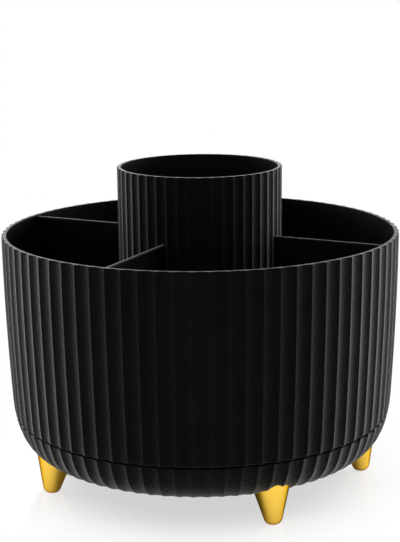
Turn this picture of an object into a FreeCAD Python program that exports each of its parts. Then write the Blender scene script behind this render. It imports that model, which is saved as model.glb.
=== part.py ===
import FreeCAD, Part
import math
import os

# A round rotating organiser for cosmetics. A fluted bowl with a tall centre cup and four
# divider plates turns on a ball bearing over a shallow fluted base that stands on four feet.
# Millimetres, +Z up. The origin is on the table, on the axis that the bowl turns about.
# Angles are in degrees, counted from +X towards +Y. The front is -Y.

Vector = FreeCAD.Vector
UP = Vector(0, 0, 1)

# ---- Outside form ------------------------------------------------------------------
RIM_HEIGHT = 115.0          # bowl's rim above the table
RIM_RADIUS = 90.1           # outside of the bowl's rim, over the ridges
BASE_UNDERSIDE = 14.3       # flat underside of the base above the table
SEAM_HEIGHT = 31.2          # top edge of the base
SEAM_GAP = 0.8              # open slit between base and bowl

# The wall leans in more and more on its way down, in three arcs that run into each other.
LEAN_AT_RIM = 0.1           # the wall's angle from upright at the rim
LEAN_AT_WAIST = 3.4         # where the long upper arc ends
LEAN_AT_HAUNCH = 22.6       # where the upper turn ends
LEAN_AT_UNDERSIDE = 67.0    # where the lower turn ends
UPPER_TURN_R = 43.0
LOWER_TURN_R = 18.0

# ---- Flutes ------------------------------------------------------------------------
FLUTE_COUNT = 78            # hollow flutes round bowl and base
FLUTE_DEPTH = 0.9
CUP_FLUTE_COUNT = 48
CUP_FLUTE_DEPTH = 0.65
BASE_FLUTE_TURN = -0.8      # the base's flutes stand a little round from the bowl's
BOWL_SECTIONS = 6           # fluted outlines that the wall is lofted through
BASE_SECTIONS = 8
INNER_SECTIONS = 6          # points that the wall's inner line is drawn through

# ---- Bowl --------------------------------------------------------------------------
BOWL_WALL = 2.2
BOWL_FLOOR = 2.5
BOWL_FLOOR_UNDER = 34.5     # underside of the bowl's floor above the table
BOWL_CORNER_R = 8.0         # hollow corner between floor and wall
SKIRT_DEPTH = 7.0           # ring under the floor that shuts the seam off from inside
SKIRT_WALL = 1.8
SKIRT_GAP = 0.8             # from the skirt to the base's inner wall

# ---- Centre cup --------------------------------------------------------------------
CUP_HEIGHT = 144.1          # cup's rim above the table
CUP_RADIUS = 37.4           # outside of the cup's rim, over the ridges
CUP_DRAFT = 0.1
CUP_WALL = 1.9
CUP_FLOOR = 2.0
CUP_FLOOR_RISE = 7.0        # hollow under the cup's floor, where its screws are
CUP_CORNER_R = 4.0
CUP_SPIGOT_HEIGHT = 4.0     # ring on the bowl's floor that centres the cup
CUP_SPIGOT_WALL = 1.8
CUP_BOSS_R = 3.2
CUP_SCREW_COUNT = 3
CUP_SCREW_CIRCLE_R = 24.0

# ---- Divider plates ----------------------------------------------------------------
DIVIDER_COUNT = 4
DIVIDER_TURN = -26.25       # where the first plate stands
DIVIDER_THICKNESS = 1.8
DIVIDER_DROP = 0.6          # plate's top edge below the bowl's rim
DIVIDER_EDGE_R = 0.5
GUIDE_WIDTH = 1.4           # ribs on the bowl's wall that hold a plate's outer edge
GUIDE_REACH = 2.2
GUIDE_DROP = 14.0           # top of those ribs below the rim

# ---- Base --------------------------------------------------------------------------
BASE_WALL = 3.2
BASE_FLOOR = 2.4
BASE_RIB_HEIGHT = 3.3
BASE_RIB_THICKNESS = 1.8
BOWL_RIB_DEPTH = 2.4
BOWL_RIB_THICKNESS = 1.8
RIB_COUNT = 6
RIB_TURN = 30.0

# ---- Ball bearing ------------------------------------------------------------------
BALL_DIAMETER = 6.0
BALL_COUNT = 20
BALL_CIRCLE_R = 52.0
BALL_GAP = 0.1              # from a ball to the groove of a race
BALL_POCKET_GAP = 0.2       # from a ball to its hole in the cage
RACE_WIDTH = 10.0
RACE_THICKNESS = 1.6
RACE_GROOVE_DEPTH = 0.8
RACE_SIDE_GAP = 0.15
RACE_LEDGE = 2.2            # width of the ledges that a race rests on
RACE_LIP = 1.2              # how far the seat's lips stand past the ledges
RACE_LIP_WALL = 1.65
CAGE_WIDTH = 9.4
CAGE_THICKNESS = 1.8

# ---- Centre pivot ------------------------------------------------------------------
SPIGOT_R = 5.0              # post under the bowl that turns in the bush
RUNNING_GAP = 0.06
BUSH_WALL = 2.94
BUSH_FLANGE = 1.4           # how far the bush's flange stands out
BUSH_FLANGE_THICKNESS = 1.2
BUSH_SEAT_GAP = 0.02
HUB_WALL = 3.0
PIVOT_BOSS_R = 9.0
PIVOT_BOSS_DEPTH = 6.5
HUB_END_GAP = 1.0
END_PLAY = 0.2              # lift that the washer leaves the bowl
WASHER_R = 8.2
WASHER_THICKNESS = 1.0
PIVOT_SCREW_SINK = 0.6      # screw's head above the plane of the underside
PIVOT_HEAD_R = 3.6
PIVOT_HEAD_HEIGHT = 2.4
PIVOT_SHANK_R = 1.75
PIVOT_HOLE_DEPTH = 12.0

# ---- Feet --------------------------------------------------------------------------
FOOT_ANGLES = (-156.4, -66.5, -4.9, 99.3)
FOOT_CIRCLE_R = 75.1        # where a foot's own axis meets the table
FOOT_SPLAY = 8.8            # how far a foot leans out
FOOT_TAPER = 16.0           # slope of its side
FOOT_TIP_R = 4.1
FOOT_TIP_ROUND = 3.2
FOOT_TIP_SINK = 0.45        # part of the rounded tip that the flat sole takes off
FOOT_BODY_LENGTH = 20.0     # along the foot, far enough to reach inside the base's outline
FOOT_BOSS_R = 4.2
FOOT_BOSS_LENGTH = 20.5
FOOT_SCREW_LENGTH = 14.0

# ---- Small screws ------------------------------------------------------------------
SCREW_HEAD_R = 2.8
SCREW_HEAD_HEIGHT = 2.0
SCREW_SHANK_R = 1.4
SCREW_HOLE_GAP = 0.2        # round a shank in the piece that its head holds
THREAD_GAP = 0.02           # round a shank in the piece that it bites into
DRIVE_SLOT_WIDTH = 0.8
DRIVE_SLOT_DEPTH = 1.0
DRIVE_SLOT_SPAN = 1.3       # slot's length over the head's radius
SCREW_TIP_GAP = 1.0         # how much deeper a hole is than its screw
SEAT_GAP = 0.15             # between moulded pieces that are pushed together

# ---- Sizes that follow from those above --------------------------------------------
bowl_bottom = SEAM_HEIGHT + SEAM_GAP
bowl_floor_top = BOWL_FLOOR_UNDER + BOWL_FLOOR
base_floor_top = BASE_UNDERSIDE + BASE_FLOOR
divider_top = RIM_HEIGHT - DIVIDER_DROP
divider_angles = [DIVIDER_TURN + 360 * i / DIVIDER_COUNT for i in range(DIVIDER_COUNT)]
cup_floor_under = bowl_floor_top + CUP_FLOOR_RISE
cup_floor_top = cup_floor_under + CUP_FLOOR
ball_height = (base_floor_top + BOWL_FLOOR_UNDER) / 2
race_face_gap = BALL_DIAMETER / 2 + BALL_GAP - RACE_GROOVE_DEPTH
race_seat_gap = race_face_gap + RACE_THICKNESS
spigot_end = BASE_UNDERSIDE + PIVOT_SCREW_SINK + PIVOT_HEAD_HEIGHT + WASHER_THICKNESS
bush_end = spigot_end + END_PLAY
hub_under = bush_end + BUSH_FLANGE_THICKNESS
pivot_boss_end = BOWL_FLOOR_UNDER - PIVOT_BOSS_DEPTH
hub_top = pivot_boss_end - HUB_END_GAP
bush_bore_r = SPIGOT_R + RUNNING_GAP
bush_r = bush_bore_r + BUSH_WALL
hub_bore_r = bush_r + BUSH_SEAT_GAP
hub_r = hub_bore_r + HUB_WALL
pivot_recess_r = bush_r + BUSH_FLANGE + RACE_SIDE_GAP
skirt_bottom = BOWL_FLOOR_UNDER - SKIRT_DEPTH


def polar(radius, angle, height=0.0):
    """Point at a radius and an angle in degrees."""
    turn = math.radians(angle)
    return Vector(radius * math.cos(turn), radius * math.sin(turn), height)


def turned(shape, angle):
    """Copy of a shape turned about the organiser's axis."""
    copy = shape.copy()
    copy.rotate(Vector(), UP, angle)
    return copy


def ring(inner_r, outer_r, bottom, top):
    """Plain ring between two radii and two heights."""
    outer = Part.makeCylinder(outer_r, top - bottom, Vector(0, 0, bottom))
    return outer.cut(Part.makeCylinder(inner_r, top - bottom, Vector(0, 0, bottom)))


def revolved(edges):
    """Solid that a closed outline in the XZ plane sweeps about the axis."""
    face = Part.Face(Part.Wire(edges))
    return face.revolve(Vector(), UP, 360)


def line(start, end):
    """Straight edge between two (radius, height) points."""
    return Part.makeLine(Vector(start[0], 0, start[1]), Vector(end[0], 0, end[1]))


def polygon_edges(corners):
    """Closed run of straight edges through (radius, height) corners."""
    return [line(a, b) for a, b in zip(corners, corners[1:] + corners[:1])]


# ---- The outer wall's line ---------------------------------------------------------
def wall_radius(height):
    """Wall's radius over its ridges: each arc starts at the lean where the one above ends."""
    rim, waist, haunch, foot = [
        math.sin(math.radians(lean))
        for lean in (LEAN_AT_RIM, LEAN_AT_WAIST, LEAN_AT_HAUNCH, LEAN_AT_UNDERSIDE)
    ]
    haunch_height = BASE_UNDERSIDE + LOWER_TURN_R * (foot - haunch)
    waist_height = haunch_height + UPPER_TURN_R * (haunch - waist)
    upper_r = (RIM_HEIGHT - waist_height) / (waist - rim)
    radius = RIM_RADIUS
    top = RIM_HEIGHT
    lean = math.asin(rim)
    arcs = ((upper_r, waist_height), (UPPER_TURN_R, haunch_height), (LOWER_TURN_R, 0.0))
    for arc_r, arc_end in arcs:
        low = max(height, arc_end)
        if top > low:
            low_lean = math.asin(math.sin(lean) + (top - low) / arc_r)
            radius -= arc_r * (math.cos(lean) - math.cos(low_lean))
            top, lean = low, low_lean
    return radius


def cup_radius(height):
    """Cup's radius over its ridges."""
    return CUP_RADIUS - (CUP_HEIGHT - height) * math.tan(math.radians(CUP_DRAFT))


# ---- Fluted shells -----------------------------------------------------------------
def fluted_outline(radius, height, count, depth, turn):
    """Closed outline of hollow arcs that meet in sharp ridges, one hollow facing the front."""
    step = 360 / count
    edges = []
    for i in range(count):
        middle = -90 + turn + i * step
        ends = [polar(radius, middle + side * step / 2, height) for side in (-1, 1)]
        hollow = polar(radius - depth, middle, height)
        edges.append(Part.Arc(ends[0], hollow, ends[1]).toShape())
    return Part.Wire(edges)


def crowded(bottom, top, count):
    """Heights from bottom to top, closer together at the bottom, where the wall turns in."""
    return [bottom + (top - bottom) * (i / (count - 1)) ** 1.5 for i in range(count)]


def fluted_body(bottom, top, sections, turn):
    """Filled outer form of bowl or base. Its flutes run out at both edges."""
    outlines = [
        fluted_outline(wall_radius(z), z, FLUTE_COUNT, FLUTE_DEPTH, turn)
        for z in crowded(bottom, top, sections)
    ]
    return Part.makeLoft(outlines, True, True)


def inner_wall(low, high, offset):
    """Edge along the inside of the wall, a fixed distance in from the ridges."""
    points = [Vector(wall_radius(z) - offset, 0, z) for z in crowded(low, high, INNER_SECTIONS)]
    curve = Part.BSplineCurve()
    curve.interpolate(points)
    return curve.toShape()


def inner_line(floor, wall, corner_r, high):
    """Edges round the floor's corner and up the inside of the wall, with their two ends."""
    low = floor + corner_r
    wall_r = wall_radius(low) - wall
    floor_r = wall_r - corner_r
    slant = math.sqrt(0.5)
    bend = Vector(floor_r + corner_r * slant, 0, low - corner_r * slant)
    corner = Part.Arc(Vector(floor_r, 0, floor), bend, Vector(wall_r, 0, low)).toShape()
    return [corner, inner_wall(low, high, wall)], (floor_r, floor), (wall_radius(high) - wall, high)


def hollow(floor, wall, corner_r, high, top):
    """Space inside a fluted body: flat floor, round corner, wall line up to high, open to top."""
    edges, floor_end, wall_end = inner_line(floor, wall, corner_r, high)
    edges += [
        line(wall_end, (wall_end[0], top)),
        line((wall_end[0], top), (0, top)),
        line((0, top), (0, floor)),
        line((0, floor), floor_end),
    ]
    return revolved(edges)


# ---- Bearing -----------------------------------------------------------------------
def race_seat(root, direction):
    """Two ring ribs with a ledge each, which hold a race. They reach from root towards the balls."""
    ledge = ball_height - direction * race_seat_gap
    lip = ledge + direction * RACE_LIP
    seats = []
    for side in (-1, 1):
        edge_r = BALL_CIRCLE_R + side * (RACE_WIDTH / 2 + RACE_SIDE_GAP)
        ledge_r = BALL_CIRCLE_R + side * (RACE_WIDTH / 2 - RACE_LEDGE)
        back_r = edge_r + side * RACE_LIP_WALL
        corners = [
            (ledge_r, root), (ledge_r, ledge), (edge_r, ledge),
            (edge_r, lip), (back_r, lip), (back_r, root),
        ]
        seats.append(revolved(polygon_edges(corners)))
    return seats


def race(direction):
    """Flat steel ring with a round groove that the balls run in. The lower one has direction 1."""
    face = ball_height - direction * race_face_gap
    seat = ball_height - direction * race_seat_gap
    inner_r = BALL_CIRCLE_R - RACE_WIDTH / 2
    outer_r = BALL_CIRCLE_R + RACE_WIDTH / 2
    body = ring(inner_r, outer_r, min(face, seat), max(face, seat))
    groove_r = BALL_DIAMETER / 2 + BALL_GAP
    return body.cut(Part.makeTorus(BALL_CIRCLE_R, groove_r, Vector(0, 0, ball_height)))


def ball_places():
    """Centres of the balls."""
    return [polar(BALL_CIRCLE_R, 360 * i / BALL_COUNT, ball_height) for i in range(BALL_COUNT)]


def bearing_balls():
    return Part.makeCompound([Part.makeSphere(BALL_DIAMETER / 2, at) for at in ball_places()])


def ball_cage():
    """Thin ring with a hole for each ball, which keeps them apart."""
    inner_r = BALL_CIRCLE_R - CAGE_WIDTH / 2
    outer_r = BALL_CIRCLE_R + CAGE_WIDTH / 2
    bottom = ball_height - CAGE_THICKNESS / 2
    body = ring(inner_r, outer_r, bottom, bottom + CAGE_THICKNESS)
    pocket_r = BALL_DIAMETER / 2 + BALL_POCKET_GAP
    drop = Vector(0, 0, -CAGE_THICKNESS)
    pockets = [Part.makeCylinder(pocket_r, 2 * CAGE_THICKNESS, at + drop) for at in ball_places()]
    return body.cut(pockets)


# ---- Screws ------------------------------------------------------------------------
def screw(head_r, head_height, shank_r, length):
    """Round-headed screw with a cross slot, head above the XY plane and shank below it."""
    head = Part.makeCylinder(head_r, head_height)
    head = head.makeFillet(head_height / 3, [head.Edges[0]])
    shank = Part.makeCylinder(shank_r, length, Vector(0, 0, -length))
    shank = shank.makeChamfer(shank_r / 2, [shank.Edges[2]])
    body = head.fuse(shank)
    slot_length = DRIVE_SLOT_SPAN * head_r
    corner = Vector(-slot_length / 2, -DRIVE_SLOT_WIDTH / 2, head_height - DRIVE_SLOT_DEPTH)
    slot = Part.makeBox(slot_length, DRIVE_SLOT_WIDTH, DRIVE_SLOT_DEPTH, corner)
    return body.cut([slot, turned(slot, 90)])


def upside_down(shape, place):
    """Copy of a screw with its shank pointing up, its head's seat at the given place."""
    copy = shape.copy()
    copy.rotate(Vector(), Vector(1, 0, 0), 180)
    copy.translate(place)
    return copy


def small_screw(length):
    return screw(SCREW_HEAD_R, SCREW_HEAD_HEIGHT, SCREW_SHANK_R, length)


# ---- Bowl --------------------------------------------------------------------------
def divider_guides():
    """Pairs of ribs on the wall, with sloped tops that lead a plate in."""
    low = bowl_floor_top + BOWL_CORNER_R / 2
    high = RIM_HEIGHT - GUIDE_DROP
    inside = BOWL_WALL + GUIDE_REACH
    into_wall = BOWL_WALL / 2
    corners = [
        (wall_radius(low) - inside, bowl_floor_top - BOWL_FLOOR / 2),
        (wall_radius(high) - inside, high - GUIDE_REACH),
        (wall_radius(high) - into_wall, high),
        (wall_radius(low) - into_wall, low),
        (wall_radius(low) - inside, low),
    ]
    face = Part.Face(Part.Wire(polygon_edges(corners)))
    slot = DIVIDER_THICKNESS + 2 * SEAT_GAP
    guides = []
    for start in (slot / 2, -slot / 2 - GUIDE_WIDTH):
        rib = face.extrude(Vector(0, GUIDE_WIDTH, 0))
        rib.translate(Vector(0, start, 0))
        guides += [turned(rib, angle) for angle in divider_angles]
    return guides


def radial_ribs(inner_r, outer_r, bottom, top, thickness):
    """Stiffening ribs that run out from the middle."""
    corner = Vector(inner_r, -thickness / 2, bottom)
    rib = Part.makeBox(outer_r - inner_r, thickness, top - bottom, corner)
    return [turned(rib, RIB_TURN + 360 * i / RIB_COUNT) for i in range(RIB_COUNT)]


def cup_screw_places(height):
    return [
        polar(CUP_SCREW_CIRCLE_R, 360 * i / CUP_SCREW_COUNT, height) for i in range(CUP_SCREW_COUNT)
    ]


def bowl():
    outer = fluted_body(bowl_bottom, RIM_HEIGHT, BOWL_SECTIONS, 0.0)
    below = Part.makeCylinder(wall_radius(bowl_bottom) - BOWL_WALL, BOWL_FLOOR_UNDER)
    inside = hollow(bowl_floor_top, BOWL_WALL, BOWL_CORNER_R, RIM_HEIGHT, CUP_HEIGHT)
    shell = outer.cut([inside, below])

    skirt_r = wall_radius(skirt_bottom) - BASE_WALL - SKIRT_GAP
    spigot_r = cup_radius(bowl_floor_top) - CUP_WALL - SEAT_GAP
    root = BOWL_FLOOR_UNDER + BOWL_FLOOR / 2
    added = [
        ring(skirt_r - SKIRT_WALL, skirt_r, skirt_bottom, root),
        ring(spigot_r - CUP_SPIGOT_WALL, spigot_r, root, bowl_floor_top + CUP_SPIGOT_HEIGHT),
        Part.makeCylinder(PIVOT_BOSS_R, root - pivot_boss_end, Vector(0, 0, pivot_boss_end)),
        Part.makeCylinder(SPIGOT_R, root - spigot_end, Vector(0, 0, spigot_end)),
    ]
    added += race_seat(root, -1)
    added += radial_ribs(
        SPIGOT_R, skirt_r - SKIRT_WALL / 2, BOWL_FLOOR_UNDER - BOWL_RIB_DEPTH, root, BOWL_RIB_THICKNESS
    )
    added += divider_guides()
    body = shell.fuse(added)

    hole_r = SCREW_SHANK_R + SCREW_HOLE_GAP
    holes = [
        Part.makeCylinder(hole_r, BOWL_FLOOR, at) for at in cup_screw_places(BOWL_FLOOR_UNDER)
    ]
    pilot_r = PIVOT_SHANK_R + THREAD_GAP
    holes.append(Part.makeCylinder(pilot_r, PIVOT_HOLE_DEPTH, Vector(0, 0, spigot_end)))
    return body.cut(holes)


# ---- Centre cup --------------------------------------------------------------------
def centre_cup():
    """Tall fluted cup whose raised floor hides its screws."""
    outlines = [
        fluted_outline(cup_radius(z), z, CUP_FLUTE_COUNT, CUP_FLUTE_DEPTH, 180 / CUP_FLUTE_COUNT)
        for z in (bowl_floor_top, CUP_HEIGHT)
    ]
    body = Part.makeLoft(outlines, True, True)

    corner_top = cup_floor_top + CUP_CORNER_R
    wall_low = cup_radius(corner_top) - CUP_WALL
    wall_high = cup_radius(CUP_HEIGHT) - CUP_WALL
    floor_r = wall_low - CUP_CORNER_R
    slant = math.sqrt(0.5)
    bend = Vector(floor_r + CUP_CORNER_R * slant, 0, corner_top - CUP_CORNER_R * slant)
    inside = revolved([
        line((0, cup_floor_top), (floor_r, cup_floor_top)),
        Part.Arc(Vector(floor_r, 0, cup_floor_top), bend, Vector(wall_low, 0, corner_top)).toShape(),
        line((wall_low, corner_top), (wall_high, CUP_HEIGHT)),
        line((wall_high, CUP_HEIGHT), (0, CUP_HEIGHT)),
        line((0, CUP_HEIGHT), (0, cup_floor_top)),
    ])
    under_r = cup_radius(bowl_floor_top) - CUP_WALL
    under = Part.makeCylinder(under_r, CUP_FLOOR_RISE, Vector(0, 0, bowl_floor_top))
    body = body.cut([inside, under])

    bosses = [
        Part.makeCylinder(CUP_BOSS_R, CUP_FLOOR_RISE + CUP_FLOOR / 2, at)
        for at in cup_screw_places(bowl_floor_top)
    ]
    pilots = [
        Part.makeCylinder(SCREW_SHANK_R + THREAD_GAP, CUP_FLOOR_RISE, at)
        for at in cup_screw_places(bowl_floor_top)
    ]
    return body.fuse(bosses).cut(pilots)


def cup_screws():
    length = BOWL_FLOOR + CUP_FLOOR_RISE - SCREW_TIP_GAP
    one = small_screw(length)
    return Part.makeCompound([upside_down(one, at) for at in cup_screw_places(BOWL_FLOOR_UNDER)])


# ---- Divider plates ----------------------------------------------------------------
def divider():
    """Flat plate from a hollow of the cup to the bowl's wall, standing along +X."""
    bottom = bowl_floor_top + SEAT_GAP
    edges, floor_end, wall_end = inner_line(
        bottom, BOWL_WALL + SEAT_GAP, BOWL_CORNER_R, divider_top
    )
    cup_ends = [
        (cup_radius(z) - CUP_FLUTE_DEPTH + SEAT_GAP, z) for z in (divider_top, bottom)
    ]
    edges += [line(wall_end, cup_ends[0]), line(cup_ends[0], cup_ends[1]), line(cup_ends[1], floor_end)]
    plate = Part.Face(Part.Wire(edges)).extrude(Vector(0, DIVIDER_THICKNESS, 0))
    plate.translate(Vector(0, -DIVIDER_THICKNESS / 2, 0))
    top_edges = [
        edge for edge in plate.Edges
        if edge.BoundBox.ZMin > divider_top - DIVIDER_EDGE_R and edge.BoundBox.XLength > DIVIDER_THICKNESS
    ]
    return plate.makeFillet(DIVIDER_EDGE_R, top_edges)


# ---- Base --------------------------------------------------------------------------
def foot_frame(shape, angle):
    """Move a shape from a foot's own frame, where its axis is +Z and meets the table at zero."""
    copy = shape.copy()
    copy.rotate(Vector(), Vector(0, 1, 0), -FOOT_SPLAY)
    copy.translate(Vector(FOOT_CIRCLE_R, 0, 0))
    copy.rotate(Vector(), UP, angle)
    return copy


def base_form():
    """Filled outer form of the base."""
    return fluted_body(BASE_UNDERSIDE, SEAM_HEIGHT, BASE_SECTIONS, BASE_FLUTE_TURN)


def base_dish(form):
    inside = hollow(base_floor_top, BASE_WALL, BASE_FLOOR, SEAM_HEIGHT, SEAM_HEIGHT + SEAM_GAP)
    shell = form.cut(inside)

    root = BASE_UNDERSIDE + BASE_FLOOR / 2
    rib_top = base_floor_top + BASE_RIB_HEIGHT
    rib_end = wall_radius(base_floor_top) - BASE_WALL
    added = [ring(hub_bore_r, hub_r, root, hub_top)]
    added += race_seat(root, 1)
    added += radial_ribs(hub_r - HUB_WALL / 2, rib_end, root, rib_top, BASE_RIB_THICKNESS)
    above_floor = Part.makeCylinder(RIM_RADIUS, SEAM_HEIGHT, Vector(0, 0, root))
    boss = Part.makeCylinder(FOOT_BOSS_R, FOOT_BOSS_LENGTH)
    added += [foot_frame(boss, angle).common(above_floor) for angle in FOOT_ANGLES]
    body = shell.fuse(added)

    hole = Part.makeCylinder(SCREW_SHANK_R + SCREW_HOLE_GAP, 2 * FOOT_BOSS_LENGTH)
    cuts = [foot_frame(hole, angle) for angle in FOOT_ANGLES]
    cuts.append(Part.makeCylinder(hub_bore_r, hub_top))
    cuts.append(Part.makeCylinder(pivot_recess_r, hub_under))
    return body.cut(cuts)


# ---- Feet --------------------------------------------------------------------------
def foot(form, angle):
    """Tapered foot with a rounded tip and a flat sole, trimmed to the base's fluted underside."""
    taper = math.radians(FOOT_TAPER)
    flat_r = FOOT_TIP_R - FOOT_TIP_ROUND
    tip = -FOOT_TIP_SINK

    def on_tip(fall):
        """Point of the tip's round that lies at an angle below the round's middle."""
        out, down = FOOT_TIP_ROUND * math.cos(fall), FOOT_TIP_ROUND * math.sin(fall)
        return Vector(flat_r + out, 0, tip + FOOT_TIP_ROUND - down)

    lowest, bend, side = on_tip(math.pi / 2), on_tip((math.pi / 2 + taper) / 2), on_tip(taper)
    top_r = side.x + (FOOT_BODY_LENGTH - side.z) * math.tan(taper)
    body = revolved([
        line((0, tip), (flat_r, tip)),
        Part.Arc(lowest, bend, side).toShape(),
        line((side.x, side.z), (top_r, FOOT_BODY_LENGTH)),
        line((top_r, FOOT_BODY_LENGTH), (0, FOOT_BODY_LENGTH)),
        line((0, FOOT_BODY_LENGTH), (0, tip)),
    ])
    pilot_start = FOOT_BOSS_LENGTH - FOOT_SCREW_LENGTH
    pilot = Part.makeCylinder(
        SCREW_SHANK_R + THREAD_GAP, FOOT_SCREW_LENGTH, Vector(0, 0, pilot_start)
    )
    placed = foot_frame(body.cut(pilot), angle)
    above_table = Part.makeCylinder(RIM_RADIUS, RIM_HEIGHT)
    return placed.common(above_table).cut(form)


def foot_screws():
    one = small_screw(FOOT_SCREW_LENGTH)
    one.translate(Vector(0, 0, FOOT_BOSS_LENGTH))
    return Part.makeCompound([foot_frame(one, angle) for angle in FOOT_ANGLES])


# ---- Centre pivot ------------------------------------------------------------------
def hub_bush():
    """Flanged plain bush that the bowl's post turns in."""
    sleeve = ring(bush_bore_r, bush_r, bush_end, hub_top)
    return sleeve.fuse(ring(bush_bore_r, bush_r + BUSH_FLANGE, bush_end, hub_under))


def pivot_washer():
    """Washer on the post's end, which keeps the bowl from being lifted off."""
    return ring(
        PIVOT_SHANK_R + SCREW_HOLE_GAP, WASHER_R, spigot_end - WASHER_THICKNESS, spigot_end
    )


def pivot_screw():
    length = PIVOT_HOLE_DEPTH + WASHER_THICKNESS - SCREW_TIP_GAP
    one = screw(PIVOT_HEAD_R, PIVOT_HEAD_HEIGHT, PIVOT_SHANK_R, length)
    return upside_down(one, Vector(0, 0, spigot_end - WASHER_THICKNESS))


def main():
    form = base_form()
    parts = {
        "bowl": bowl(),
        "centre_cup": centre_cup(),
        "cup_screws": cup_screws(),
        "base_dish": base_dish(form),
        "foot_screws": foot_screws(),
        "lower_race": race(1),
        "upper_race": race(-1),
        "ball_cage": ball_cage(),
        "bearing_balls": bearing_balls(),
        "hub_bush": hub_bush(),
        "pivot_washer": pivot_washer(),
        "pivot_screw": pivot_screw(),
    }
    plate = divider()
    for number, angle in enumerate(divider_angles, 1):
        parts["divider_%d" % number] = turned(plate, angle)
    for number, angle in enumerate(FOOT_ANGLES, 1):
        parts["foot_%d" % number] = foot(form, angle)

    os.makedirs("parts", exist_ok=True)
    for name, shape in parts.items():
        shape.exportStep("parts/%s.step" % name)
        print("%-14s %2d solid(s) %10.1f mm3 valid %s" % (
            name, len(shape.Solids), shape.Volume, shape.isValid()))


main()
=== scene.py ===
# %% [markdown]
# # A rotating make-up organizer
#
# The object is a round black bowl with a tall cup in its middle and four plates between the cup
# and the wall. It turns on a ball bearing over a shallow base, which stands on four gold feet.
# Bowl, cup and base are fluted: hollow grooves that meet in sharp ridges run round them.
#
# The working model comes in as a fixed frame, at its real size and place. This script remodels
# what shows as smooth surfaces, gives every piece its finish, and sets up floor, light and camera.

# %% The frame and the tools
import math
import bpy
import numpy as np
from mathutils import Matrix, Vector


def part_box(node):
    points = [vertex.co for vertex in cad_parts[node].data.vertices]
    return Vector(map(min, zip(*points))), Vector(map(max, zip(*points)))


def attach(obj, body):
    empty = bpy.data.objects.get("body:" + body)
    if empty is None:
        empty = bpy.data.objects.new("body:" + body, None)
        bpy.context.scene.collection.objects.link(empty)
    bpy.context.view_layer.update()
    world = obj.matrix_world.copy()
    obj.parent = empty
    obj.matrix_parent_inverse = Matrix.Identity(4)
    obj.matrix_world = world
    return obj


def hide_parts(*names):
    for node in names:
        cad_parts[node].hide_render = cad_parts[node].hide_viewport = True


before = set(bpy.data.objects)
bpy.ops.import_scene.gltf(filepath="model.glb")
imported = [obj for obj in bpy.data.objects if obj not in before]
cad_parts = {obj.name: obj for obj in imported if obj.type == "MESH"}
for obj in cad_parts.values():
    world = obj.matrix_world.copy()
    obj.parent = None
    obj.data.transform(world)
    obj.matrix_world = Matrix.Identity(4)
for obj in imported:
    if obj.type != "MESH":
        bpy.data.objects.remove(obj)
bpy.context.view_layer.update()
MM = 0.001

# %% [markdown]
# ## Camera
#
# A camera can be aimed by hand until the picture looks right, or its place can be worked out from
# the object's own sizes. Here it stands 615 mm in front of the axis and looks 12.9 degrees down,
# from a little above the cup. The long lens keeps the bowl's round rims calm.

# %% The camera
IMAGE_HEIGHT_PX = 542
FOCAL_PX = 1370.5              # focal length counted in pixels of that image
SENSOR_MM = 36.0
CAMERA_DISTANCE = 615.2 * MM
CAMERA_HEIGHT = 235.4 * MM
LOOK_DOWN = math.radians(12.86)
ROLL = math.radians(-0.636)
PAN = math.radians(-0.023)


def camera_axes():
    """Right, up and forward of a camera that looks along +Y, panned, tilted down, then rolled."""
    forward = Vector((math.sin(PAN) * math.cos(LOOK_DOWN), math.cos(PAN) * math.cos(LOOK_DOWN),
                      -math.sin(LOOK_DOWN)))
    level = Vector((math.cos(PAN), -math.sin(PAN), 0))
    upright = level.cross(forward)
    right = level * math.cos(ROLL) + upright * math.sin(ROLL)
    up = upright * math.cos(ROLL) - level * math.sin(ROLL)
    return right, up, forward


lens = bpy.data.cameras.new("camera")
lens.sensor_width = SENSOR_MM
lens.lens = FOCAL_PX * SENSOR_MM / IMAGE_HEIGHT_PX
camera = bpy.data.objects.new("camera", lens)
right, up, forward = camera_axes()
camera.matrix_world = Matrix((
    (right.x, up.x, -forward.x, 0),
    (right.y, up.y, -forward.y, -CAMERA_DISTANCE),
    (right.z, up.z, -forward.z, CAMERA_HEIGHT),
    (0, 0, 0, 1),
))
bpy.context.scene.collection.objects.link(camera)
bpy.context.scene.camera = camera
print("lens", round(lens.lens, 2), "mm")

# %% [markdown]
# ## Two small helpers for materials
#
# Colours are written the way a paint chart gives them, as sRGB hex. Shaders count in linear light,
# so one function turns them round. Nodes could be added line by line, which soon hides what a
# material is. So one small function adds a node, sets its sockets and links its inputs, and each
# material below reads as a short list.

# %% Colours and nodes
def linear(hex_colour):
    """Linear RGBA of an sRGB hex colour: each channel / 12.92 below 0.04045, else a 2.4 power."""
    channels = np.array([int(hex_colour[i:i + 2], 16) for i in (1, 3, 5)]) / 255
    low = channels / 12.92
    high = ((channels + 0.055) / 1.055) ** 2.4
    return tuple(float(v) for v in np.where(channels <= 0.04045, low, high)) + (1.0,)


def node(tree, kind, sockets=None, links=None, **settings):
    """Adds a node of a kind, sets its properties and sockets, and links outputs to its inputs."""
    made = tree.nodes.new("ShaderNode" + kind)
    for name, value in settings.items():
        setattr(made, name, value)
    for name, value in (sockets or {}).items():
        made.inputs[name].default_value = value
    for name, output in (links or {}).items():
        tree.links.new(output, made.inputs[name])
    return made


def material(name):
    """Empty node material and its tree."""
    made = bpy.data.materials.new(name)
    made.use_nodes = True
    made.node_tree.nodes.clear()
    return made, made.node_tree


print("a middle grey of #808080 is", round(linear("#808080")[0], 3), "in linear light")

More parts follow.
